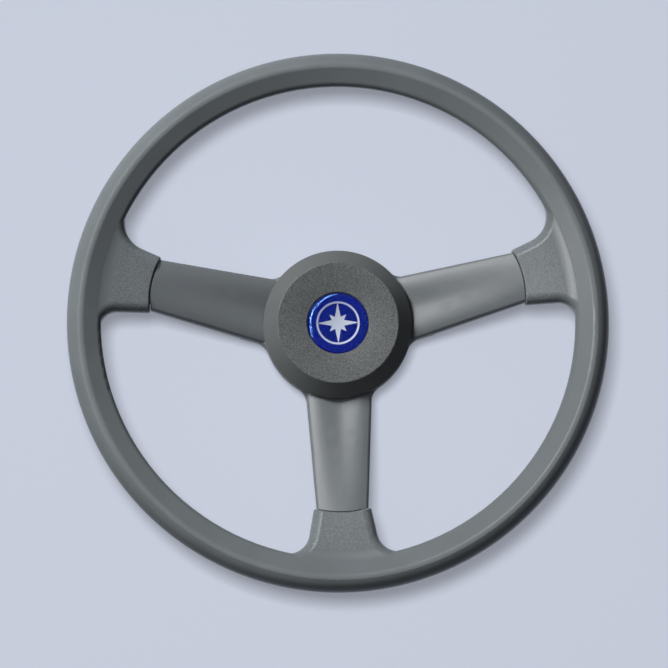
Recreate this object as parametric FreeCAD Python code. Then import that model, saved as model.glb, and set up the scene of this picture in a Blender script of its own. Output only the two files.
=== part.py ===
"""Boat steering wheel with three spokes, lying on the back of its hub.

The wheel axis is Z and points at the helmsman. Y points at the top of the wheel, so one spoke
runs straight down along -Y and the other two rise a little above the horizontal.
The origin is the centre of the hub's back face. All lengths are millimetres.
"""
import FreeCAD, Part
import math
import os

Vector = FreeCAD.Vector

# Rim grip section
wheel_diameter = 380.0
grip_width = 24.0
rim_mid_height = 60.5
ridge_inset = 11.0
ridge_rise = 13.5
grip_back_depth = 13.5
inner_face_slope = 28.0
inner_edge_round = 5.0
ridge_round = 5.0

# Steel ring inside the grip
ring_bar_diameter = 10.0

# Branches of the grip moulding, which cover the spoke ends
seam_distance = 134.0
seam_bow_radius = 65.0
seam_groove = 0.6
branch_half_width = 20.4
branch_width_station = 133.0
branch_flare = 11.0
branch_root_radius_above = 19.0
branch_root_radius_below = 12.0
lower_branch_root_radius = 15.0
branch_root_bury = 1.0
branch_lip_round = 1.4
branch_front_lip = 0.8
branch_front_slope = 12.5
branch_depth = 14.2
branch_back_slope = 10.0
branch_front_round = 7.0
branch_back_round = 3.5
branch_valley_round = 30.0
branch_sink = 0.05
branch_buried_end = 5.0

# Spokes
upper_spoke_angle = 12.7
spoke_root_station = 52.0
spoke_root_half_width = 23.1
spoke_tip_half_width = 17.9
spoke_root_height = 35.5
spoke_slope = 16.0
spoke_root_depth = 14.0
spoke_tip_depth = 12.0
spoke_shoulder_round = 3.0
spoke_root_valley = 1.5
spoke_tip_valley = -0.3
spoke_root_crown_drop = 5.4
spoke_tip_crown_drop = 4.2
crown_share = 0.38
crown_reach = 1.2
crown_section_count = 4
casting_wall = 3.2
spoke_inner_start = 34.0
cavity_end = 124.0
rib_count = 3
rib_thickness = 2.6
rib_setback = 2.0

# Tongue and lug, which tie each spoke to the ring
tongue_root_half_width = 14.0
tongue_tip_half_width = 12.0
tongue_thickness = 7.0
tongue_cover = 4.5
lug_diameter = 17.0
lug_length = 26.0

# Hub of the casting
hub_radius = 53.0
hub_top_height = 34.6
hub_edge_round = 2.0
root_fillet_radius = 13.0
root_plate_drop = 1.2
root_plate_round = 2.5
recess_radius = 43.0
recess_depth = 1.6
disc_thickness = 6.0

# Machined hub adapter
adapter_boss_diameter = 42.0
adapter_flange_diameter = 74.0
adapter_flange_thickness = 6.0
adapter_spigot_diameter = 36.0
adapter_edge_chamfer = 1.0
taper_large_diameter = 19.05
taper_ratio = 12.0
nut_seat_diameter = 30.0
nut_seat_depth = 3.0
keyway_width = 4.76
keyway_depth = 2.4
keyway_angle = 90.0

# Screws and lock washers between adapter and casting
screw_count = 6
screw_circle_diameter = 58.0
screw_diameter = 5.0
screw_length = 12.0
screw_hole_clearance = 0.5
screw_head_diameter = 8.5
screw_head_height = 5.0
screw_socket_width = 4.0
screw_socket_depth = 2.5
washer_diameter = 8.7
washer_thickness = 1.2
washer_hole_clearance = 0.2

# Hub cap
cap_base_diameter = 105.4
cap_flat_diameter = 85.2
cap_bottom_gap = 1.7
cap_skirt_height = 2.4
cap_height = 14.0
cap_wall = 2.5
cap_dish_inner_slope = 12.0
cap_dish_outer_slope = 6.0
cap_flat_round = 0.8
cap_skirt_round = 1.0
locating_ring_thickness = 2.4
locating_ring_clearance = 0.5
leg_count = 3
leg_width = 10.0
leg_first_angle = 90.0
leg_slot_clearance = 0.5
leg_hook_reach = 1.4
leg_hook_height = 2.2
leg_hook_gap = 0.2

# Domed emblem in the cap
emblem_diameter = 43.0
emblem_recess_clearance = 0.3
emblem_recess_depth = 1.5
emblem_recess_chamfer = 0.6
emblem_floor_thickness = 1.8
emblem_plate_thickness = 0.8
motif_thickness = 0.3
motif_ring_radius = 15.2
motif_ring_width = 1.3
star_long_point = 13.2
star_short_point = 8.4
star_waist = 3.4
star_point_pairs = 4
dome_edge_inset = 0.2
dome_edge_height = 0.7
dome_rise = 1.9

# How close two places are when they count as the same
same_place = 0.01

# Places worked out from the sizes above
rim_outer_radius = wheel_diameter / 2
rim_inner_radius = rim_outer_radius - grip_width
rim_centre_radius = rim_outer_radius - grip_width / 2
ridge_radius = rim_outer_radius - ridge_inset
ridge_height = rim_mid_height + ridge_rise
branch_root_circle = rim_inner_radius + branch_root_bury
spoke_rise = math.tan(math.radians(spoke_slope))
spoke_angles = (upper_spoke_angle, 180 - upper_spoke_angle, 270.0)
branch_seam_height = (
    spoke_root_height + (seam_distance - spoke_root_station) * spoke_rise + branch_front_lip
)
recess_floor = hub_top_height - recess_depth
disc_back = recess_floor - disc_thickness
hub_back = spoke_root_height - spoke_root_depth
root_plate_reach = hub_radius + root_fillet_radius
screw_circle_radius = screw_circle_diameter / 2
washer_top = recess_floor + washer_thickness
cap_base_radius = cap_base_diameter / 2
cap_flat_radius = cap_flat_diameter / 2
cap_bottom = hub_top_height + cap_bottom_gap
cap_top = cap_bottom + cap_height
cap_ceiling = cap_top - cap_wall
locating_ring_radius = recess_radius - locating_ring_clearance
emblem_recess_radius = emblem_diameter / 2 + emblem_recess_clearance
cap_dish_start = emblem_recess_radius + emblem_recess_chamfer
cap_dish_slope = math.radians((cap_dish_inner_slope + cap_dish_outer_slope) / 2)
cap_dish_low = cap_top - (cap_flat_radius - cap_dish_start) * math.tan(cap_dish_slope)
emblem_floor = cap_dish_low - emblem_recess_depth
emblem_plate_top = emblem_floor + emblem_plate_thickness
below_wheel = -rim_mid_height
above_wheel = ridge_height + rim_mid_height


def at(radius, height):
    """Point of a radial section, in the plane through the wheel axis and X."""
    return Vector(radius, 0, height)


def line(start, end):
    return Part.LineSegment(start, end).toShape()


def quarter_ellipse(centre, major_point, minor_point):
    """Quarter of an ellipse from the end of its major axis to the end of its minor axis."""
    ellipse = Part.Ellipse(major_point, minor_point, centre)
    return Part.ArcOfEllipse(ellipse, 0, math.pi / 2).toShape()


def turned(edges, angle=360):
    """Solid turned about the wheel axis from the edges of a closed radial section."""
    wire = Part.Wire(Part.sortEdges(edges)[0])
    return Part.Face(wire).revolve(Vector(0, 0, 0), Vector(0, 0, 1), angle)


def turned_polygon(points):
    corners = [at(radius, height) for radius, height in points]
    return turned([line(a, b) for a, b in zip(corners, corners[1:] + corners[:1])])


def disc(radius, bottom, top, centre=Vector(0, 0, 0)):
    return Part.makeCylinder(radius, top - bottom, centre + Vector(0, 0, bottom))


def prism(corners, extent):
    """Solid between a flat outline and its copy moved by an extent."""
    return Part.Face(Part.makePolygon(corners + corners[:1])).extrude(extent)


def turned_to(shape, angle):
    """Copy of a shape turned about the wheel axis."""
    copy = shape.copy()
    copy.rotate(Vector(0, 0, 0), Vector(0, 0, 1), angle)
    return copy


def around(shape, angles):
    return [turned_to(shape, angle) for angle in angles]


def round_edges(solid, radius, chosen):
    edges = [edge for edge in solid.Edges if chosen(edge)]
    return solid.makeFillet(radius, edges)


def is_circle_at(edge, radius, height):
    """True for a full circle about the wheel axis of this radius and height."""
    box = edge.BoundBox
    flat = box.ZLength < same_place and abs(box.ZMin - height) < same_place
    return flat and max(abs(box.XMax - radius), abs(box.XMin + radius)) < same_place


def is_upright(edge):
    return max(edge.BoundBox.XLength, edge.BoundBox.YLength) < same_place


# Rim grip

def rim_body():
    """Ring of the grip: oval behind, with a ridge in front and a flat face falling inwards."""
    slope = math.radians(inner_face_slope)
    face_normal = Vector(-math.sin(slope), 0, math.cos(slope))
    edge_centre_radius = rim_inner_radius + inner_edge_round
    run_to_edge = ridge_radius - edge_centre_radius
    edge_drop = (inner_edge_round + run_to_edge * math.sin(slope)) / math.cos(slope)
    edge_height = ridge_height - edge_drop
    edge_centre = at(edge_centre_radius, edge_height)

    ridge = at(ridge_radius, ridge_height)
    outermost = at(rim_outer_radius, rim_mid_height)
    backmost = at(rim_centre_radius, rim_mid_height - grip_back_depth)
    innermost = at(rim_inner_radius, edge_height)
    face_end = edge_centre + face_normal * inner_edge_round
    middle_normal = (face_normal + Vector(-1, 0, 0)).normalize()
    edge_middle = edge_centre + middle_normal * inner_edge_round

    edges = [
        quarter_ellipse(at(ridge_radius, rim_mid_height), ridge, outermost),
        quarter_ellipse(at(rim_centre_radius, rim_mid_height), backmost, outermost),
        quarter_ellipse(at(rim_centre_radius, edge_height), backmost, innermost),
        Part.Arc(innermost, edge_middle, face_end).toShape(),
        line(face_end, ridge),
    ]

    def is_ridge(edge):
        return is_circle_at(edge, ridge_radius, ridge_height)

    return round_edges(turned(edges), ridge_round, is_ridge)


def seam_cylinder(radius):
    """Upright cylinder whose outer wall is the bowed seam at the end of a spoke along X."""
    bow_centre = Vector(seam_distance - seam_bow_radius, 0, 0)
    return disc(radius, below_wheel, above_wheel, bow_centre)


def branch_side(root_radius):
    """One flared side of a branch's plan, which runs in an arc into the rim's inner edge."""
    flare = math.radians(branch_flare)
    along = Vector(math.cos(flare), math.sin(flare), 0)
    outward = Vector(-math.sin(flare), math.cos(flare), 0)
    side = Vector(branch_width_station, branch_half_width, 0)
    offset_side = side + outward * root_radius
    reach = branch_root_circle - root_radius
    half_sum = offset_side.dot(along)
    run = -half_sum + math.sqrt(half_sum ** 2 - offset_side.dot(offset_side) + reach ** 2)
    arc_centre = offset_side + along * run
    arc_start = arc_centre - outward * root_radius
    arc_end = arc_centre * (branch_root_circle / reach)
    middle = (arc_end - arc_centre + arc_start - arc_centre).normalize()
    arc_middle = arc_centre + middle * root_radius

    inner_end = seam_distance - seam_bow_radius
    side_start = side - along * ((side.x - inner_end) / along.x)
    buried_corner = arc_end * (rim_centre_radius / branch_root_circle)
    edges = [
        line(side_start, arc_start),
        Part.Arc(arc_start, arc_middle, arc_end).toShape(),
        line(arc_end, buried_corner),
    ]
    return edges, side_start, buried_corner


def branch_outline(radius_above, radius_below):
    """Plan of a branch along X, with its own root radius on either side."""
    left, left_start, left_corner = branch_side(radius_above)
    right, right_start, right_corner = branch_side(radius_below)
    right = [edge.mirror(Vector(0, 0, 0), Vector(0, 1, 0)) for edge in right]
    ends = [
        line(left_start, Vector(right_start.x, -right_start.y, 0)),
        line(left_corner, Vector(right_corner.x, -right_corner.y, 0)),
    ]
    return Part.Face(Part.Wire(Part.sortEdges(left + right + ends)[0]))


def branch_front_height(radius):
    rise = math.tan(math.radians(branch_front_slope))
    return branch_seam_height + (radius - seam_distance) * rise


def branch_back_height(radius):
    rise = math.tan(math.radians(branch_back_slope))
    return branch_seam_height - branch_depth + (radius - seam_distance) * rise


def branch_layer():
    """Front and back of all branches, turned, with a soft valley before the rim's inner face."""
    low_slope = math.radians(branch_front_slope)
    steep_slope = math.radians(inner_face_slope)
    low_run = Vector(math.cos(low_slope), 0, math.sin(low_slope))
    steep_run = Vector(math.cos(steep_slope), 0, math.sin(steep_slope))
    face_foot = ridge_height - branch_sink - ridge_radius * math.tan(steep_slope)
    branch_foot = branch_front_height(0)
    meeting_radius = (branch_foot - face_foot) / (math.tan(steep_slope) - math.tan(low_slope))
    meeting = at(meeting_radius, branch_front_height(meeting_radius))
    tangent = branch_valley_round * math.tan((steep_slope - low_slope) / 2)
    valley_start = meeting - low_run * tangent
    valley_end = meeting + steep_run * tangent
    valley_depth = branch_valley_round * (1 / math.cos((steep_slope - low_slope) / 2) - 1)
    upward = (steep_run - low_run).normalize()
    valley_middle = meeting + upward * valley_depth

    inner = seam_distance - seam_bow_radius
    outer = ridge_radius - branch_buried_end
    inner_front = at(inner, branch_front_height(inner))
    inner_back = at(inner, branch_back_height(inner))
    outer_front = at(outer, face_foot + outer * math.tan(steep_slope))
    outer_back = at(outer, branch_back_height(outer))
    return turned([
        line(inner_front, valley_start),
        Part.Arc(valley_start, valley_middle, valley_end).toShape(),
        line(valley_end, outer_front),
        line(outer_front, outer_back),
        line(outer_back, inner_back),
        line(inner_back, inner_front),
    ])


def branch_body(radius_above, radius_below):
    """One branch along X, from the bowed seam to the middle of the rim section."""
    plan = branch_outline(radius_above, radius_below).extrude(Vector(0, 0, above_wheel))
    branch = plan.common(branch_layer()).cut(seam_cylinder(seam_bow_radius))

    def is_side_edge(edge, in_front):
        middle = edge.BoundBox.Center
        beside = abs(middle.y) > branch_half_width and not is_upright(edge)
        reach = max(math.hypot(vertex.X, vertex.Y) for vertex in edge.Vertexes)
        outside_rim = reach < branch_root_circle + same_place
        centre_height = (branch_front_height(middle.x) + branch_back_height(middle.x)) / 2
        return beside and outside_rim and (middle.z > centre_height) == in_front

    branch = round_edges(branch, branch_front_round, lambda edge: is_side_edge(edge, True))
    branch = round_edges(branch, branch_back_round, lambda edge: is_side_edge(edge, False))

    bow_centre = seam_distance - seam_bow_radius

    def is_lip(edge):
        from_bow_centre = [math.hypot(vertex.X - bow_centre, vertex.Y) for vertex in edge.Vertexes]
        on_seam = max(abs(distance - seam_bow_radius) for distance in from_bow_centre) < same_place
        return on_seam and not (is_upright(edge) and abs(edge.CenterOfMass.y) < same_place)

    return round_edges(branch, branch_lip_round, is_lip)


# Casting with hub and spokes

def spoke_front(station):
    return spoke_root_height + (station - spoke_root_station) * spoke_rise


def along_spoke(station, root_value, tip_value):
    share = (station - spoke_root_station) / (seam_distance - spoke_root_station)
    return root_value + (tip_value - root_value) * share


def spoke_half_width(station):
    return along_spoke(station, spoke_root_half_width, spoke_tip_half_width)


def spoke_plan(start, end, inset):
    """Tapered plan of a spoke along X, as an upright prism taller than the wheel."""
    start_width = spoke_half_width(start) - inset
    end_width = spoke_half_width(end) - inset
    corners = [
        Vector(start, -start_width, below_wheel),
        Vector(end, -end_width, below_wheel),
        Vector(end, end_width, below_wheel),
        Vector(start, start_width, below_wheel),
    ]
    return prism(corners, Vector(0, 0, above_wheel - below_wheel))


def crown_section(station):
    """Section under the front of a spoke: two crowns with a valley between them."""
    half_width = spoke_half_width(station)
    front = spoke_front(station)
    valley = along_spoke(station, spoke_root_valley, spoke_tip_valley)
    reach_drop = along_spoke(station, spoke_root_crown_drop, spoke_tip_crown_drop)
    shape = [
        (-crown_reach, reach_drop),
        (-crown_share, 0),
        (0, valley),
        (crown_share, 0),
        (crown_reach, reach_drop),
    ]
    points = [Vector(station, share * half_width, front - drop) for share, drop in shape]
    crown = Part.BSplineCurve()
    crown.interpolate(Points=points, Parameters=[share for share, drop in shape])
    low_left = Vector(station, points[0].y, below_wheel)
    low_right = Vector(station, points[-1].y, below_wheel)
    sides = [line(points[-1], low_right), line(low_right, low_left), line(low_left, points[0])]
    return Part.Wire([crown.toShape()] + sides)


def under_crown(drop):
    """Everything below the front surface of a spoke, lowered by a drop."""
    start = spoke_inner_start - casting_wall
    end = seam_distance + casting_wall
    step = (end - start) / (crown_section_count - 1)
    sections = [crown_section(start + i * step) for i in range(crown_section_count)]
    solid = Part.makeLoft(sections, True, False)
    solid.translate(Vector(0, 0, -drop))
    return solid


def above_back(raise_by):
    """Everything in front of the back edges of a spoke, raised by a height."""
    start = spoke_inner_start - casting_wall
    end = seam_distance + casting_wall
    corners = []
    for station in (start, end):
        depth = along_spoke(station, spoke_root_depth, spoke_tip_depth)
        corners.append(Vector(station, -hub_radius, spoke_front(station) - depth + raise_by))
    corners.append(Vector(end, -hub_radius, above_wheel))
    corners.append(Vector(start, -hub_radius, above_wheel))
    return prism(corners, Vector(0, 2 * hub_radius, 0))


def spoke_body():
    """Outside of a spoke along X, with rounded shoulders and a bowed outer end."""
    plan = spoke_plan(spoke_inner_start, seam_distance + seam_groove, 0)
    body = plan.common(above_back(0)).common(under_crown(0))

    def is_shoulder(edge):
        middle = edge.BoundBox.Center
        in_front = middle.z > spoke_front(middle.x) - spoke_tip_depth / 2
        along_side = abs(middle.y) > spoke_tip_half_width and edge.BoundBox.XLength > hub_radius
        return along_side and in_front

    body = round_edges(body, spoke_shoulder_round, is_shoulder)
    return body.common(seam_cylinder(seam_bow_radius - seam_groove))


def spoke_hollow():
    """Hollow in the back of a spoke along X, open to the rear."""
    plan = spoke_plan(recess_radius + casting_wall, cavity_end, casting_wall)
    return plan.common(under_crown(casting_wall))


def spoke_ribs():
    """Cross ribs inside the hollow back of a spoke, as the rungs of a ladder."""
    pitch = (cavity_end - hub_radius) / (rib_count + 1)
    ribs = []
    for number in range(1, rib_count + 1):
        start = hub_radius + number * pitch - rib_thickness / 2
        rib = spoke_plan(start, start + rib_thickness, casting_wall / 2)
        rib = rib.common(under_crown(casting_wall / 2)).common(above_back(rib_setback))
        ribs.append(rib)
    return ribs


def tongue_section(station, half_width):
    front_rise = math.tan(math.radians(branch_front_slope))
    front = branch_seam_height + (station - seam_distance) * front_rise - tongue_cover
    back = front - tongue_thickness
    corners = [
        Vector(station, -half_width, back),
        Vector(station, half_width, back),
        Vector(station, half_width, front),
        Vector(station, -half_width, front),
    ]
    return Part.makePolygon(corners + corners[:1])


def spoke_anchor():
    """Tongue of a spoke along X inside the branch, with the lug cast round the ring."""
    tongue = Part.makeLoft(
        [
            tongue_section(cavity_end, tongue_root_half_width),
            tongue_section(rim_centre_radius, tongue_tip_half_width),
        ],
        True,
        True,
    )
    lug_start = Vector(rim_centre_radius, -lug_length / 2, rim_mid_height)
    lug = Part.makeCylinder(lug_diameter / 2, lug_length, lug_start, Vector(0, 1, 0))
    return tongue.fuse(lug)


def core_ring():
    return Part.makeTorus(rim_centre_radius, ring_bar_diameter / 2, Vector(0, 0, rim_mid_height))


def root_plate(inset, bottom, top):
    """Plan of the hub with three spoke stubs, filleted in its inner corners, as a plate."""
    plate = disc(hub_radius - inset, bottom, top)
    slab = disc(2 * hub_radius, bottom, top)
    stub = spoke_plan(spoke_inner_start, root_plate_reach, inset).common(slab)
    for copy in around(stub, spoke_angles):
        plate = plate.fuse(copy)
    plate = plate.removeSplitter()

    def is_inner_corner(edge):
        middle = edge.BoundBox.Center
        from_axis = math.hypot(middle.x, middle.y)
        return is_upright(edge) and abs(from_axis - (hub_radius - inset)) < same_place

    return round_edges(plate, root_fillet_radius + inset, is_inner_corner)


def hub_body():
    """Outside of the hub: a round edge and the fillets that lead into the spokes."""
    hub = round_edges(
        disc(hub_radius, hub_back, hub_top_height),
        hub_edge_round,
        lambda edge: is_circle_at(edge, hub_radius, hub_top_height),
    )
    plate_top = hub_top_height - root_plate_drop
    plate = root_plate(0, hub_back, plate_top)

    def is_top_edge(edge):
        return edge.BoundBox.ZMin > plate_top - same_place

    return hub.fuse(round_edges(plate, root_plate_round, is_top_edge))


def slot_for_leg(clearance):
    """Block along X where a leg of the cap passes through the hub disc."""
    inner = locating_ring_radius - locating_ring_thickness - clearance
    outer = locating_ring_radius + clearance / 2
    width = leg_width + 2 * clearance
    place = Vector(inner, -width / 2, disc_back - disc_thickness)
    return Part.makeBox(outer - inner, width, 2 * disc_thickness, place)


def leg_angles():
    return [leg_first_angle + 360 / leg_count * i for i in range(leg_count)]


def screw_places():
    step = 360 / screw_count
    first = Part.Vertex(screw_circle_radius, 0, 0)
    return [turned_to(first, (i + 0.5) * step).Point for i in range(screw_count)]


def make_spoke_casting():
    """Hub, hollow-backed spokes and lugs, cast as one piece."""
    casting = hub_body().fuse(around(spoke_body(), spoke_angles))
    casting = casting.cut(disc(recess_radius, recess_floor, above_wheel))
    hollows = around(spoke_hollow(), spoke_angles)
    casting = casting.cut(root_plate(casting_wall, 0, disc_back).fuse(hollows))
    inside = spoke_anchor().fuse(spoke_ribs())
    casting = casting.fuse(around(inside, spoke_angles))
    casting = casting.cut(core_ring())

    hole_radius = (screw_diameter + screw_hole_clearance) / 2
    holes = [disc(hole_radius, 0, above_wheel, place) for place in screw_places()]
    spigot_hole = disc(adapter_spigot_diameter / 2, 0, above_wheel)
    slots = around(slot_for_leg(leg_slot_clearance), leg_angles())
    return casting.cut([spigot_hole] + holes + slots).removeSplitter()


def make_rim_grip():
    """Soft moulding of the rim with its three branches, round the ring and the spoke ends."""
    grip = rim_body()
    right_branch = branch_body(branch_root_radius_above, branch_root_radius_below)
    left_branch = branch_body(branch_root_radius_below, branch_root_radius_above)
    lower_branch = branch_body(lower_branch_root_radius, lower_branch_root_radius)
    for branch, angle in zip((right_branch, left_branch, lower_branch), spoke_angles):
        grip = grip.fuse(turned_to(branch, angle))
    for anchor in around(spoke_anchor(), spoke_angles):
        grip = grip.cut(anchor)
    return grip.cut(core_ring())


# Hub adapter and its fasteners

def bore_radius(height):
    """Radius of the tapered bore, which is widest at the back face."""
    return (taper_large_diameter - height / taper_ratio) / 2


def make_hub_adapter():
    """Flanged hub with a keyed taper for the shaft and a seat for the shaft nut."""
    boss = adapter_boss_diameter / 2
    flange = adapter_flange_diameter / 2
    spigot = adapter_spigot_diameter / 2
    flange_back = disc_back - adapter_flange_thickness
    seat = recess_floor - nut_seat_depth
    chamfer = adapter_edge_chamfer
    profile = [
        (bore_radius(0), 0),
        (boss - chamfer, 0),
        (boss, chamfer),
        (boss, flange_back),
        (flange - chamfer, flange_back),
        (flange, flange_back + chamfer),
        (flange, disc_back),
        (spigot, disc_back),
        (spigot, recess_floor),
        (nut_seat_diameter / 2, recess_floor),
        (nut_seat_diameter / 2, seat),
        (bore_radius(seat), seat),
    ]
    adapter = turned_polygon(profile)
    keyway_corners = [
        Vector(0, -keyway_width / 2, 0),
        Vector(bore_radius(0) + keyway_depth, -keyway_width / 2, 0),
        Vector(bore_radius(seat) + keyway_depth, -keyway_width / 2, seat),
        Vector(0, -keyway_width / 2, seat),
    ]
    keyway = prism(keyway_corners, Vector(0, keyway_width, 0))
    adapter = adapter.cut(turned_to(keyway, keyway_angle))
    for place in screw_places():
        adapter = adapter.cut(disc(screw_diameter / 2, flange_back, disc_back, place))
    return adapter


def hexagon(width, bottom, height, centre):
    """Upright six-sided prism, measured across its flats."""
    corner_count = 6
    step = 2 * math.pi / corner_count
    reach = width / 2 / math.cos(step / 2)
    corners = [
        centre + Vector(reach * math.cos(i * step), reach * math.sin(i * step), bottom)
        for i in range(corner_count)
    ]
    return prism(corners, Vector(0, 0, height))


def make_hub_screws():
    """Socket-head screws that hold the casting on the adapter flange."""
    screws = []
    for place in screw_places():
        shank = disc(screw_diameter / 2, washer_top - screw_length, washer_top, place)
        head_top = washer_top + screw_head_height
        head = disc(screw_head_diameter / 2, washer_top, head_top, place)
        socket_bottom = head_top - screw_socket_depth
        socket = hexagon(screw_socket_width, socket_bottom, screw_socket_depth, place)
        screws.append(shank.fuse(head).cut(socket))
    return Part.makeCompound(screws)


def make_hub_screw_washers():
    washers = []
    for place in screw_places():
        ring = disc(washer_diameter / 2, recess_floor, washer_top, place)
        hole_radius = (screw_diameter + washer_hole_clearance) / 2
        washers.append(ring.cut(disc(hole_radius, recess_floor, washer_top, place)))
    return Part.makeCompound(washers)


# Hub cap and emblem

def cap_leg():
    """Snap leg of the cap along X, with its hook behind the hub disc."""
    inner = locating_ring_radius - locating_ring_thickness
    hook_top = disc_back - leg_hook_gap
    hook_bottom = hook_top - leg_hook_height
    corners = [
        Vector(inner, -leg_width / 2, recess_floor),
        Vector(locating_ring_radius, -leg_width / 2, recess_floor),
        Vector(locating_ring_radius, -leg_width / 2, hook_top),
        Vector(locating_ring_radius + leg_hook_reach, -leg_width / 2, hook_top),
        Vector(locating_ring_radius, -leg_width / 2, hook_bottom),
        Vector(inner, -leg_width / 2, hook_bottom),
    ]
    return prism(corners, Vector(0, leg_width, 0))


def make_hub_cap():
    """Moulded cap with a conical bevel, a dished face, an emblem recess and three snap legs."""
    skirt_top = cap_bottom + cap_skirt_height
    recess_back = emblem_floor - emblem_floor_thickness
    bevel_run = cap_base_radius - cap_flat_radius
    bevel_rise = cap_top - skirt_top
    inner_base = cap_base_radius - cap_wall
    inner_flat = cap_flat_radius - cap_wall * math.hypot(bevel_run, bevel_rise) / bevel_rise
    inner_flat += cap_wall * bevel_run / bevel_rise
    ring_inner = locating_ring_radius - locating_ring_thickness
    ring_meets_bevel = cap_ceiling - (locating_ring_radius - inner_flat) * bevel_rise / bevel_run
    inner_skirt_top = cap_ceiling - (inner_base - inner_flat) * bevel_rise / bevel_run
    dish_inner = at(cap_dish_start, cap_dish_low)
    dish_outer = at(cap_flat_radius, cap_top)
    dish_run = dish_outer - dish_inner
    dish_turn = math.radians(cap_dish_inner_slope - cap_dish_outer_slope)
    dish_bow = dish_run.Length / 2 * math.tan(dish_turn / 4)
    upward = Vector(-dish_run.z, 0, dish_run.x).normalize()
    dish_middle = (dish_inner + dish_outer) / 2 + upward * dish_bow
    corners = [
        (cap_flat_radius, cap_top),
        (cap_base_radius, skirt_top),
        (cap_base_radius, cap_bottom),
        (inner_base, cap_bottom),
        (inner_base, inner_skirt_top),
        (locating_ring_radius, ring_meets_bevel),
        (locating_ring_radius, recess_floor),
        (ring_inner, recess_floor),
        (ring_inner, cap_ceiling),
        (emblem_recess_radius + cap_wall, cap_dish_low - cap_wall),
        (emblem_recess_radius + cap_wall, recess_back),
        (0, recess_back),
        (0, emblem_floor),
        (emblem_recess_radius, emblem_floor),
        (emblem_recess_radius, cap_dish_low - emblem_recess_chamfer),
        (cap_dish_start, cap_dish_low),
    ]
    points = [at(radius, height) for radius, height in corners]
    edges = [line(a, b) for a, b in zip(points, points[1:])]
    edges.append(Part.Arc(dish_inner, dish_middle, dish_outer).toShape())

    def is_flat_edge(edge):
        return is_circle_at(edge, cap_flat_radius, cap_top)

    def is_skirt_edge(edge):
        return is_circle_at(edge, cap_base_radius, skirt_top)

    cap = round_edges(turned(edges), cap_flat_round, is_flat_edge)
    cap = round_edges(cap, cap_skirt_round, is_skirt_edge)
    for leg in around(cap_leg(), leg_angles()):
        cap = cap.fuse(leg)
    return cap


def make_emblem_plate():
    return disc(emblem_diameter / 2, emblem_floor, emblem_plate_top)


def star_point(length):
    """One kite-shaped point of the compass star, along X."""
    waist_angle = math.pi / star_point_pairs
    waist_x = star_waist * math.cos(waist_angle)
    waist_y = star_waist * math.sin(waist_angle)
    corners = [
        Vector(0, 0, emblem_plate_top),
        Vector(waist_x, -waist_y, emblem_plate_top),
        Vector(length, 0, emblem_plate_top),
        Vector(waist_x, waist_y, emblem_plate_top),
    ]
    return prism(corners, Vector(0, 0, motif_thickness))


def make_emblem_motif():
    """Plain compass star inside a ring, as one raised foil."""
    top = emblem_plate_top + motif_thickness
    ring = disc(motif_ring_radius, emblem_plate_top, top)
    ring = ring.cut(disc(motif_ring_radius - motif_ring_width, emblem_plate_top, top))
    pair_angle = 360 / star_point_pairs
    motif = ring
    for number in range(star_point_pairs):
        long_point = turned_to(star_point(star_long_point + motif_ring_width), number * pair_angle)
        short_point = turned_to(star_point(star_short_point), number * pair_angle + pair_angle / 2)
        motif = motif.fuse(long_point).fuse(short_point)
    return motif.removeSplitter()


def make_emblem_dome():
    """Clear lens over the emblem, cast over the motif."""
    edge_radius = emblem_diameter / 2 - dome_edge_inset
    edge_top = emblem_plate_top + dome_edge_height
    crown = edge_top + dome_rise
    sphere_radius = (edge_radius ** 2 + dome_rise ** 2) / (2 * dome_rise)
    centre_height = crown - sphere_radius
    half_angle = math.asin(edge_radius / sphere_radius) / 2
    middle_height = centre_height + sphere_radius * math.cos(half_angle)
    arc_middle = at(sphere_radius * math.sin(half_angle), middle_height)
    edges = [
        line(at(0, emblem_plate_top), at(edge_radius, emblem_plate_top)),
        line(at(edge_radius, emblem_plate_top), at(edge_radius, edge_top)),
        Part.Arc(at(edge_radius, edge_top), arc_middle, at(0, crown)).toShape(),
        line(at(0, crown), at(0, emblem_plate_top)),
    ]
    return turned(edges).cut(make_emblem_motif())


def write_nodes():
    os.makedirs("parts", exist_ok=True)
    nodes = {
        "rim_grip": make_rim_grip(),
        "rim_core_ring": core_ring(),
        "spoke_casting": make_spoke_casting(),
        "hub_adapter": make_hub_adapter(),
        "hub_screws": make_hub_screws(),
        "hub_screw_washers": make_hub_screw_washers(),
        "hub_cap": make_hub_cap(),
        "emblem_plate": make_emblem_plate(),
        "emblem_motif": make_emblem_motif(),
        "emblem_dome": make_emblem_dome(),
    }
    for name, shape in nodes.items():
        shape.exportStep(f"parts/{name}.step")
        print(name, len(shape.Solids), shape.isValid(), round(shape.Volume), "mm3")


write_nodes()
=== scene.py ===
"""Looks of the boat steering wheel: materials, the emblem's clear lens, ground, lights and camera.

The wheel's axis is Z and the helmsman looks down on it. All lengths are metres, angles degrees.
"""
import bmesh
import bpy
import math
from mathutils import Matrix, Vector


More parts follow.
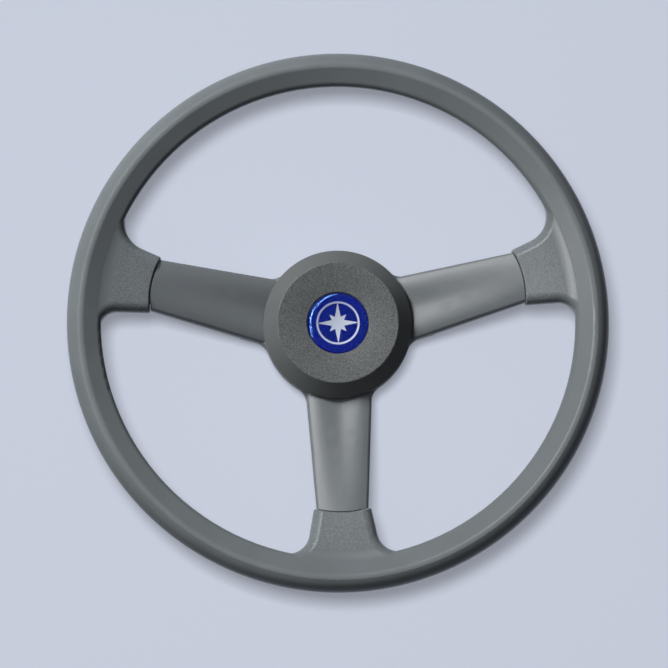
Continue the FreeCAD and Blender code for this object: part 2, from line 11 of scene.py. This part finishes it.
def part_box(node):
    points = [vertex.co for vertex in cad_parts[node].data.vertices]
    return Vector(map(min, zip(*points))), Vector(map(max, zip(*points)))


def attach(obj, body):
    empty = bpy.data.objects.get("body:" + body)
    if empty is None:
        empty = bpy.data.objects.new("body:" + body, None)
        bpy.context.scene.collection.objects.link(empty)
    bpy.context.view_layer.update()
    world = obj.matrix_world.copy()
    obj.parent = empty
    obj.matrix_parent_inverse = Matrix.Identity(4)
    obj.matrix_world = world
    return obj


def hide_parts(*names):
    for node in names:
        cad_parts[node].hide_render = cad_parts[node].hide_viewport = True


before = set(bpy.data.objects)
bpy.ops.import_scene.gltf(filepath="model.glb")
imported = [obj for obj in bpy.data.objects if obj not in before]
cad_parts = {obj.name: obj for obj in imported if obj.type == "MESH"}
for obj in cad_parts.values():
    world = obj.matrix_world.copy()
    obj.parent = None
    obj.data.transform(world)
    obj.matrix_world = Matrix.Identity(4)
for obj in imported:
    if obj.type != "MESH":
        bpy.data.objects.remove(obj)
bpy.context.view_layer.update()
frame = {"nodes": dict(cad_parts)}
scene = bpy.context.scene
scene.view_settings.view_transform = "Standard"

# Camera, with the width that its view spans at the target
picture_width = 668
metres_per_pixel = 0.0007004
frame_width = picture_width * metres_per_pixel
camera_distance = 2.0
camera_tilt = 6.4
camera_turn = -12.0
camera_roll = -1.35
rim_plane = 0.0605
camera_target = Vector((-0.0033, -0.0093, rim_plane))
sensor_width = 36.0
view_reach = 50

# Ground, its colour and its edge
ground_colour = (0.571, 0.610, 0.708)
ground_reach = 12.0

# Ground's brightness in the wheel's shadow, what its lamp adds, and how that light thins with
# distance, which the ground's own brightness makes up for beyond a radius
shadow_brightness = 0.43
lamp_brightness = 0.55
lamp_height = 2.14
lamp_thinning = -2.0
even_radius = 0.15

# Share of the ground's and the surroundings' brightness that reaches the wheel as light
bounce_share = 0.05

# Distance of the wheel's lamps from the hub
lamp_distance = 2.4

# Grip: radius within which its branches are grained, and its lighter bands with their middle
# radius, reach to both sides and gain in brightness: a painted highlight along the ridge and
# painted light on the branches
grip_colour = (0.151, 0.168, 0.175)
rim_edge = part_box("rim_grip")[1].x
branch_grain_radius = rim_edge - 0.0300
ridge_radius = rim_edge - 0.0105
ridge_reach = 0.0032
ridge_highlight_gain = 0.18
branch_radius = rim_edge - 0.0480
branch_reach = 0.0240
branch_painted_light_gain = 0.12

# Cap, grained inside its bevel
cap_colour = (0.134, 0.143, 0.144)
cap_bevel_width = 0.0101
cap_face_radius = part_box("hub_cap")[1].x - cap_bevel_width

# Width of the border between grained and smooth moulding, and the smooth side's even height
# within the grain's range of 0..1
grain_border = 0.0007
smooth_height = 0.49

# Casting and the metal parts behind it
paint_colour = (0.119, 0.131, 0.138)
ring_colour = (0.42, 0.42, 0.43)
adapter_colour = (0.62, 0.63, 0.64)
screw_colour = (0.50, 0.50, 0.50)

# Emblem, whose silver motif has painted shading, lighter at its lower right than at its upper left
plate_colour = (0.0020, 0.0030, 0.095)
foil_colour = (0.40, 0.44, 0.48)
foil_shading = 0.5
foil_brushing = (1, 12, 1)
motif_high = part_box("emblem_motif")[1]

# Clear lens of the emblem, a film above the motif
lens_film = 0.0001
lens_squareness = 4
lens_ring_count = 14
lens_segment_count = 96
lens_sharp_angle = 50
lens_reflection_tint = (0.10, 0.26, 0.55)

# Part of a noise's range in which nearly all of it lies
noise_range = (0.3, 0.7)


def new_material(name):
    material = bpy.data.materials.new(name)
    material.use_nodes = True
    nodes = material.node_tree.nodes
    return material, nodes, material.node_tree.links, nodes["Principled BSDF"]


def object_position(nodes):
    return nodes.new("ShaderNodeTexCoord").outputs["Object"]


def noise(nodes, links, position, scale, detail=2.0):
    """Noise whose scale is in ripples to the metre."""
    texture = nodes.new("ShaderNodeTexNoise")
    texture.inputs["Scale"].default_value = scale
    texture.inputs["Detail"].default_value = detail
    links.new(position, texture.inputs["Vector"])
    return texture.outputs["Fac"]


def math_node(nodes, links, operation, *values):
    """Result of an operation on outputs of other nodes and plain numbers."""
    made = nodes.new("ShaderNodeMath")
    made.operation = operation
    for value, socket in zip(values, made.inputs):
        if isinstance(value, (int, float)):
            socket.default_value = value
        else:
            links.new(value, socket)
    return made.outputs["Value"]


def ramp(nodes, links, factor, low, high, places=noise_range):
    """Colour that passes from low to high as the factor goes from one place to the other."""
    made = nodes.new("ShaderNodeValToRGB")
    for element, place, colour in zip(made.color_ramp.elements, places, (low, high)):
        element.position = place
        element.color = (*colour, 1)
    links.new(factor, made.inputs["Fac"])
    return made.outputs["Color"]


def level(nodes, links, factor, low, high):
    """Factor from 0..1 carried over to low..high."""
    made = nodes.new("ShaderNodeMapRange")
    made.inputs["To Min"].default_value = low
    made.inputs["To Max"].default_value = high
    links.new(factor, made.inputs["Value"])
    return made.outputs["Result"]


def bump(nodes, links, height, depth, strength, under=None):
    """Bump of a depth in metres, over another bump where one is given."""
    made = nodes.new("ShaderNodeBump")
    made.inputs["Strength"].default_value = strength
    made.inputs["Distance"].default_value = depth
    links.new(height, made.inputs["Height"])
    if under is not None:
        links.new(under, made.inputs["Normal"])
    return made.outputs["Normal"]


def scaled(colour, share):
    return tuple(channel * share for channel in colour)


def grey(value):
    return (value, value, value)


def multiplied(nodes, links, first, second):
    made = nodes.new("ShaderNodeMix")
    made.data_type = "RGBA"
    made.blend_type = "MULTIPLY"
    made.inputs["Factor"].default_value = 1.0
    links.new(first, made.inputs["A"])
    links.new(second, made.inputs["B"])
    return made.outputs["Result"]


def distance_from_axis(nodes, links, position):
    parts = nodes.new("ShaderNodeSeparateXYZ")
    flat = nodes.new("ShaderNodeCombineXYZ")
    length = nodes.new("ShaderNodeVectorMath")
    length.operation = "LENGTH"
    links.new(position, parts.inputs["Vector"])
    for axis in "XY":
        links.new(parts.outputs[axis], flat.inputs[axis])
    links.new(flat.outputs["Vector"], length.inputs[0])
    return length.outputs["Value"]


def ring_band(nodes, links, radius, middle, reach, gain):
    """Factor that rises from 1 to 1 + gain toward a middle radius and falls again."""
    off = math_node(nodes, links, "ABSOLUTE", math_node(nodes, links, "SUBTRACT", radius, middle))
    made = nodes.new("ShaderNodeMapRange")
    made.interpolation_type = "SMOOTHSTEP"
    made.inputs["From Max"].default_value = reach
    made.inputs["To Min"].default_value = 1 + gain
    made.inputs["To Max"].default_value = 1.0
    links.new(off, made.inputs["Value"])
    return made.outputs["Result"]


def painted_light_on_grip(material):
    """Paints a highlight along the ridge, and paints the branches a little lighter as painted light."""
    nodes, links = material.node_tree.nodes, material.node_tree.links
    base = nodes["Principled BSDF"].inputs["Base Color"]
    radius = distance_from_axis(nodes, links, object_position(nodes))
    # painted highlight along the ridge, and painted light on the branches
    ridge = ring_band(nodes, links, radius, ridge_radius, ridge_reach, ridge_highlight_gain)
    branch = ring_band(nodes, links, radius, branch_radius, branch_reach, branch_painted_light_gain)
    ridge_highlighted = multiplied(nodes, links, base.links[0].from_socket, ridge)
    links.new(multiplied(nodes, links, ridge_highlighted, branch), base)


def kept_inside(nodes, links, grain, radius, grained_radius):
    """Grain that gives way to an even height outside a radius."""
    made = nodes.new("ShaderNodeMix")
    links.new(grain, made.inputs["A"])
    made.inputs["B"].default_value = smooth_height
    mask = nodes.new("ShaderNodeMapRange")
    mask.inputs["From Min"].default_value = grained_radius
    mask.inputs["From Max"].default_value = grained_radius + grain_border
    links.new(radius, mask.inputs["Value"])
    links.new(mask.outputs["Result"], made.inputs["Factor"])
    return made.outputs["Result"]


def moulded_material(name, colour, grain_size, pit_shade, roughness, specular, grained_radius):
    """Matt moulding with fine pebbled grain, painted shade that darkens its pits, and slight clouding of
    its colour.
    """
    material, nodes, links, shader = new_material(name)
    position = object_position(nodes)
    cloud = noise(nodes, links, position, scale=28, detail=3)
    clouded = ramp(nodes, links, cloud, scaled(colour, 0.95), scaled(colour, 1.05))
    grain = noise(nodes, links, position, scale=1 / grain_size, detail=1)
    radius = distance_from_axis(nodes, links, position)
    grain = kept_inside(nodes, links, grain, radius, grained_radius)
    # pits of the grain darkened in colour: painted shade
    pit_shaded = ramp(nodes, links, grain, grey(1 - pit_shade), grey(1.0))
    links.new(multiplied(nodes, links, clouded, pit_shaded), shader.inputs["Base Color"])
    patches = noise(nodes, links, position, scale=60, detail=4)
    gloss = level(nodes, links, patches, low=roughness - 0.03, high=roughness + 0.03)
    links.new(gloss, shader.inputs["Roughness"])
    shader.inputs["Specular IOR Level"].default_value = specular
    pits = bump(nodes, links, grain, depth=grain_size / 8, strength=0.6)
    links.new(pits, shader.inputs["Normal"])
    return material


def painted_material():
    """Satin paint on the casting, with a trace of the casting's own unevenness under it."""
    material, nodes, links, shader = new_material("satin_grey_paint")
    position = object_position(nodes)
    cloud = noise(nodes, links, position, scale=22, detail=2)
    base = ramp(nodes, links, cloud, scaled(paint_colour, 0.97), scaled(paint_colour, 1.03))
    links.new(base, shader.inputs["Base Color"])
    patches = noise(nodes, links, position, scale=90, detail=3)
    links.new(level(nodes, links, patches, low=0.44, high=0.50), shader.inputs["Roughness"])
    shader.inputs["Specular IOR Level"].default_value = 0.32
    waves = bump(nodes, links, noise(nodes, links, position, scale=45), depth=0.0006, strength=0.12)
    peel = noise(nodes, links, position, scale=900, detail=2)
    peeled = bump(nodes, links, peel, depth=0.00004, strength=0.25, under=waves)
    links.new(peeled, shader.inputs["Normal"])
    return material


def metal_material(name, colour, roughness, ring_spacing):
    """Turned or drawn metal with fine rings about the wheel's axis."""
    material, nodes, links, shader = new_material(name)
    position = object_position(nodes)
    rings = nodes.new("ShaderNodeTexWave")
    rings.wave_type = "RINGS"
    rings.rings_direction = "Z"
    rings.inputs["Scale"].default_value = 1 / ring_spacing
    rings.inputs["Distortion"].default_value = 0.6
    links.new(position, rings.inputs["Vector"])
    patches = noise(nodes, links, position, scale=120, detail=4)
    base = ramp(nodes, links, patches, scaled(colour, 0.88), colour)
    links.new(base, shader.inputs["Base Color"])
    shader.inputs["Metallic"].default_value = 1.0
    gloss = level(nodes, links, patches, low=roughness - 0.06, high=roughness + 0.06)
    links.new(gloss, shader.inputs["Roughness"])
    grooves = bump(nodes, links, rings.outputs["Fac"], depth=0.00003, strength=0.3)
    links.new(grooves, shader.inputs["Normal"])
    return material


def plate_material():
    """Deep blue lacquer with fine flakes."""
    material, nodes, links, shader = new_material("emblem_blue_lacquer")
    flakes = noise(nodes, links, object_position(nodes), scale=2600, detail=1)
    dark, light = scaled(plate_colour, 0.9), scaled(plate_colour, 1.12)
    base = ramp(nodes, links, flakes, dark, light, places=(0.35, 0.65))
    links.new(base, shader.inputs["Base Color"])
    shader.inputs["Roughness"].default_value = 0.4
    shader.inputs["Specular IOR Level"].default_value = 0.0
    return material


def foil_material():
    """Foil with a faint brushed look and painted shading that makes it brighter toward the lower right."""
    material, nodes, links, shader = new_material("emblem_silver_foil")
    position = object_position(nodes)
    stretched = nodes.new("ShaderNodeMapping")
    stretched.inputs["Scale"].default_value = foil_brushing
    links.new(position, stretched.inputs["Vector"])
    brushed = noise(nodes, links, stretched.outputs["Vector"], scale=900, detail=3)
    base = ramp(nodes, links, brushed, scaled(foil_colour, 0.82), foil_colour)
    # painted shading: lighter toward the lower right, darker toward the upper left
    parts = nodes.new("ShaderNodeSeparateXYZ")
    links.new(position, parts.inputs["Vector"])
    across = math_node(nodes, links, "SUBTRACT", parts.outputs["X"], parts.outputs["Y"])
    across = math_node(nodes, links, "DIVIDE", across, motif_high.x)
    shading = math_node(nodes, links, "MULTIPLY_ADD", across, foil_shading / 2, 1.0)
    links.new(multiplied(nodes, links, base, shading), shader.inputs["Base Color"])
    shader.inputs["Metallic"].default_value = 0.55
    shader.inputs["Roughness"].default_value = 0.34
    return material


def lens_material():
    """Clear cast resin."""
    material, nodes, links, shader = new_material("emblem_clear_resin")
    shader.inputs["Base Color"].default_value = (1, 1, 1, 1)
    shader.inputs["Transmission Weight"].default_value = 1.0
    shader.inputs["IOR"].default_value = 1.45
    shader.inputs["Specular Tint"].default_value = (*lens_reflection_tint, 1)
    haze = noise(nodes, links, object_position(nodes), scale=300, detail=2)
    links.new(level(nodes, links, haze, low=0.05, high=0.08), shader.inputs["Roughness"])
    return material


def dress(node, material):
    """Puts one material on all slots of a node of the frame."""
    slots = frame["nodes"][node].data.materials
    slots.clear()
    slots.append(material)


def dress_mouldings():
    grip = moulded_material(
        "soft_grip_moulding",
        grip_colour,
        grain_size=0.0010,
        pit_shade=0.36,
        roughness=0.29,
        specular=0.17,
        grained_radius=branch_grain_radius,
    )
    painted_light_on_grip(grip)
    dress("rim_grip", grip)
    cap = moulded_material(
        "cap_moulding",
        cap_colour,
        grain_size=0.0009,
        pit_shade=0.54,
        roughness=0.42,
        specular=0.12,
        grained_radius=cap_face_radius,
    )
    dress("hub_cap", cap)


def dress_metal():
    dress("spoke_casting", painted_material())
    dress("rim_core_ring", metal_material("drawn_steel", ring_colour, roughness=0.38, ring_spacing=0.0012))
    turned = metal_material("turned_aluminium", adapter_colour, roughness=0.32, ring_spacing=0.0008)
    dress("hub_adapter", turned)
    steel = metal_material("zinc_plated_steel", screw_colour, roughness=0.34, ring_spacing=0.0005)
    dress("hub_screws", steel)
    dress("hub_screw_washers", steel)


def dress_emblem():
    """Gives the emblem its materials and returns the one of its clear resin."""
    resin = lens_material()
    dress("emblem_plate", plate_material())
    dress("emblem_motif", foil_material())
    dress("emblem_dome", resin)
    return resin


def emblem_lens(resin):
    """Clear lens whose face curves down ever more steeply toward its edge."""
    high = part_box("emblem_dome")[1]
    underside = motif_high.z + lens_film
    rise = high.z - underside
    rings = []
    for step in range(lens_ring_count + 1):
        share = math.sin(math.pi / 2 * step / lens_ring_count)
        rings.append((high.x * share, underside + rise * (1 - share ** lens_squareness) ** 0.5))
    shape = bmesh.new()
    profile = [shape.verts.new((radius, 0, height)) for radius, height in rings]
    profile.append(shape.verts.new((0, 0, underside)))
    lines = [shape.edges.new(pair) for pair in zip(profile, profile[1:])]
    bmesh.ops.spin(
        shape,
        geom=profile + lines,
        cent=(0, 0, 0),
        axis=(0, 0, 1),
        angle=math.tau,
        steps=lens_segment_count,
        use_merge=True,
    )
    bmesh.ops.remove_doubles(shape, verts=shape.verts, dist=lens_film / 10)
    bmesh.ops.recalc_face_normals(shape, faces=shape.faces)
    for face in shape.faces:
        face.smooth = True
    sharp = math.radians(lens_sharp_angle)
    for line in shape.edges:
        line.smooth = len(line.link_faces) == 2 and line.calc_face_angle() < sharp
    mesh = bpy.data.meshes.new("emblem_lens")
    shape.to_mesh(mesh)
    shape.free()
    mesh.materials.append(resin)
    piece = bpy.data.objects.new("emblem_lens", mesh)
    scene.collection.objects.link(piece)
    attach(piece, "root")
    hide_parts("emblem_dome")
    return piece


def seen_directly(nodes, links):
    """1 for rays of the camera, reflections and glass, and a small share for light that spreads."""
    path = nodes.new("ShaderNodeLightPath")
    total = path.outputs["Is Camera Ray"]
    for kind in ("Is Glossy Ray", "Is Transmission Ray"):
        total = math_node(nodes, links, "MAXIMUM", total, path.outputs[kind])
    return level(nodes, links, total, low=bounce_share, high=1.0)


def ground_glow(nodes, links):
    """Brightness of the ground that the wheel's shadow doesn't dim.

    Away from the wheel, where the lamp's light thins out, it grows and takes the light's place.
    """
    radius = distance_from_axis(nodes, links, object_position(nodes))
    outward = math_node(nodes, links, "SUBTRACT", radius, even_radius)
    away = math_node(nodes, links, "MAXIMUM", outward, 0.0)
    away = math_node(nodes, links, "DIVIDE", away, lamp_height)
    widening = math_node(nodes, links, "MULTIPLY_ADD", away, away, 1.0)
    thinned = math_node(nodes, links, "POWER", widening, lamp_thinning)
    return level(nodes, links, thinned, low=shadow_brightness + lamp_brightness, high=shadow_brightness)


def ground():
    """Pale level ground around the wheel."""
    mesh = bpy.data.meshes.new("ground")
    corners = [(-ground_reach, -ground_reach, 0), (ground_reach, -ground_reach, 0)]
    corners += [(ground_reach, ground_reach, 0), (-ground_reach, ground_reach, 0)]
    mesh.from_pydata(corners, [], [(0, 1, 2, 3)])
    sheet = bpy.data.objects.new("ground", mesh)
    scene.collection.objects.link(sheet)
    material, nodes, links, shader = new_material("pale_ground")
    seen = seen_directly(nodes, links)
    base = ramp(nodes, links, seen, grey(0), ground_colour, places=(0, 1))
    links.new(base, shader.inputs["Base Color"])
    shader.inputs["Roughness"].default_value = 1.0
    shader.inputs["Specular IOR Level"].default_value = 0.0
    shader.inputs["Emission Color"].default_value = (*ground_colour, 1)
    glow = math_node(nodes, links, "MULTIPLY", seen, ground_glow(nodes, links))
    links.new(glow, shader.inputs["Emission Strength"])
    mesh.materials.append(material)
    return sheet


def surroundings():
    """Surroundings that show as pale as the ground and light the wheel faintly."""
    world = bpy.data.worlds.new("surroundings")
    world.use_nodes = True
    nodes, links = world.node_tree.nodes, world.node_tree.links
    background = nodes["Background"]
    background.inputs["Color"].default_value = (*ground_colour, 1)
    links.new(seen_directly(nodes, links), background.inputs["Strength"])
    scene.world = world


def lit_group(name, members):
    """Group of objects that a lamp lights, while it leaves the others alone."""
    group = bpy.data.collections.new(name)
    for member in members:
        group.objects.link(member)
    return group


def soft_lamp(name, lit, azimuth, elevation, width, height, brightness, distance=lamp_distance):
    """Rectangular lamp aimed at the hub; azimuth 0 is the wheel's right and 90 its top.

    At a brightness of 1 a white surface that faces the lamp is just white.
    """
    lamp = bpy.data.lights.new(name, "AREA")
    lamp.shape = "RECTANGLE"
    lamp.size = width
    lamp.size_y = height
    lamp.energy = brightness * (math.pi * distance) ** 2
    holder = bpy.data.objects.new(name, lamp)
    turn, rise = math.radians(azimuth), math.radians(elevation)
    toward = Vector((math.cos(turn) * math.cos(rise), math.sin(turn) * math.cos(rise), math.sin(rise)))
    holder.location = toward * distance
    holder.rotation_mode = "QUATERNION"
    holder.rotation_quaternion = toward.to_track_quat("Z", "Y")
    holder.light_linking.receiver_collection = lit
    scene.collection.objects.link(holder)
    return holder


def wheel_lamps(lens):
    """Key lamp and a fainter one beside it, and wide lamps that show only as shine.

    Of those, one is on the spokes and the cap, one on the rim and one on the emblem's lens.
    """
    nodes = frame["nodes"]
    wheel = lit_group("wheel", [*nodes.values(), lens])
    middle = lit_group("middle", [nodes["spoke_casting"], nodes["hub_cap"]])
    rim = lit_group("rim", [nodes["rim_grip"]])
    clear = lit_group("clear", [lens])
    key = soft_lamp("key", wheel, azimuth=134, elevation=38, width=0.85, height=0.85, brightness=1.46)
    key.visible_glossy = False
    soft_lamp("side", wheel, azimuth=180, elevation=58, width=0.85, height=0.85, brightness=0.20)
    shines = [
        soft_lamp("spoke_strip", middle, azimuth=136, elevation=42, width=2.2, height=1.1, brightness=2.2),
        soft_lamp("rim_strip", rim, azimuth=148, elevation=62, width=2.6, height=0.42, brightness=1.5),
        soft_lamp("window", clear, azimuth=146, elevation=54, width=4.2, height=0.55, brightness=7),
    ]
    for shine in shines:
        shine.visible_diffuse = False
        shine.visible_transmission = False


def ground_lamp(floor):
    """Lamp nearly straight above, which gives the ground its soft shadows and lights nothing else."""
    soft_lamp(
        "above",
        lit_group("floor", [floor]),
        azimuth=165,
        elevation=84.6,
        width=0.39,
        height=0.39,
        brightness=lamp_brightness,
        distance=lamp_height,
    )


def add_camera():
    """Camera that looks down on the wheel from the helmsman's side, a little below its axis."""
    tilt, turn = math.radians(camera_tilt), math.radians(camera_turn)
    back = Vector((math.sin(turn) * math.sin(tilt), -math.cos(turn) * math.sin(tilt), math.cos(tilt)))
    data = bpy.data.cameras.new("camera")
    data.sensor_width = sensor_width
    data.lens = sensor_width * camera_distance / frame_width
    data.clip_end = view_reach
    holder = bpy.data.objects.new("camera", data)
    right = Vector((0, 1, 0)).cross(back).normalized()
    up = back.cross(right)
    axes = Matrix((right, up, back)).transposed()
    roll = Matrix.Rotation(math.radians(camera_roll), 3, "Z")
    holder.matrix_world = Matrix.LocRotScale(camera_target + back * camera_distance, axes @ roll, None)
    scene.collection.objects.link(holder)
    scene.camera = holder


dress_mouldings()
dress_metal()
resin = dress_emblem()
lens = emblem_lens(resin)
wheel_lamps(lens)
floor = ground()
ground_lamp(floor)
surroundings()
add_camera()
